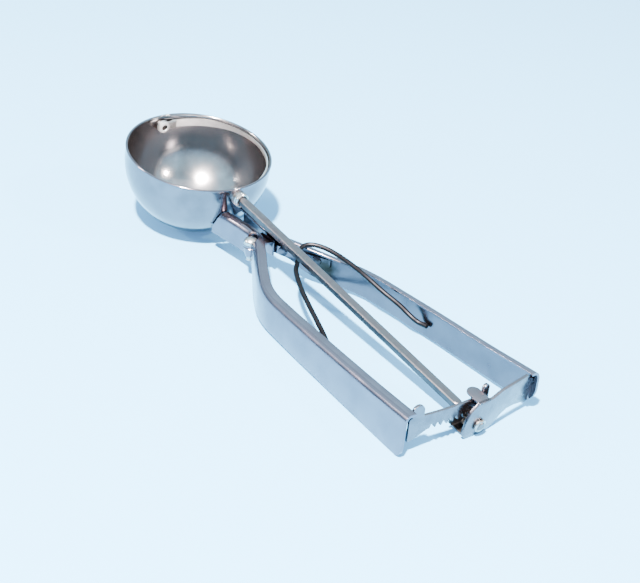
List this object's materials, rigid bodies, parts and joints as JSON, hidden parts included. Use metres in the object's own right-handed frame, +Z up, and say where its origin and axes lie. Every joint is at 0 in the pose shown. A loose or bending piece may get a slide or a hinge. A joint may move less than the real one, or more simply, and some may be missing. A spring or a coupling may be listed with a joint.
{
  "type": "lever ice cream scoop",
  "caption": "Squeeze-handle ice cream scoop: round bowl with a sweeping scraper blade turned by a geared rod when the sprung handle is pressed.",
  "frame": {"origin": "centre of the bounding box's footprint, at the height of the table that the scoop lies on", "axes": "+Z up; +X from the bowl to the free ends of the handles; +Y towards the fixed handle"},
  "size_m": [0.2104, 0.0626, 0.0387],
  "materials": {
    "bowl_steel": "polished outside, finely brushed inside",
    "handle_steel": "polished",
    "bright_steel": "polished, slightly worn",
    "rod_steel": "worn satin with fine scratches",
    "housing_steel": "brushed",
    "dark_steel": "machined, dull",
    "spring_steel": "blued, satin"
  },
  "bodies": {
    "frame": {"bowl": "bowl_steel", "rod_bearing_collar": "bright_steel", "front_pivot_rivet": "bright_steel", "neck_bracket": "handle_steel", "bracket_rivets": "bright_steel", "pivot_pin": "bright_steel", "right_handle": "handle_steel", "gear_housing": "housing_steel", "return_spring": "spring_steel"},
    "moving_handle": {"left_handle": "handle_steel", "hinge_knuckle": "handle_steel", "rack_plate": "housing_steel"},
    "scraper": {"scraper_blade": "bowl_steel", "scraper_rod": "rod_steel", "pinion": "dark_steel", "rod_end_cap": "bright_steel"}
  },
  "joints": [
    {"name": "handle_squeeze", "type": "hinge", "parent": "frame", "child": "moving_handle", "pos_m": [-0.02524, -0.00553, 0.012], "axis": [0, 0, 1], "range_deg": [0, 4.6], "stiffness_Nm_per_rad": 6, "springref_deg": -5.73, "deforming": ["return_spring"]},
    {"name": "scraper_spin", "type": "hinge", "parent": "frame", "child": "scraper", "pos_m": [-0.07444, 0.00097, 0.0302], "axis": [-0.99, 0, 0.1409], "range_deg": [0, 181]}
  ],
  "couplings": [
    {"joint": "scraper_spin", "follows": "handle_squeeze", "ratio": 39.156}
  ]
}
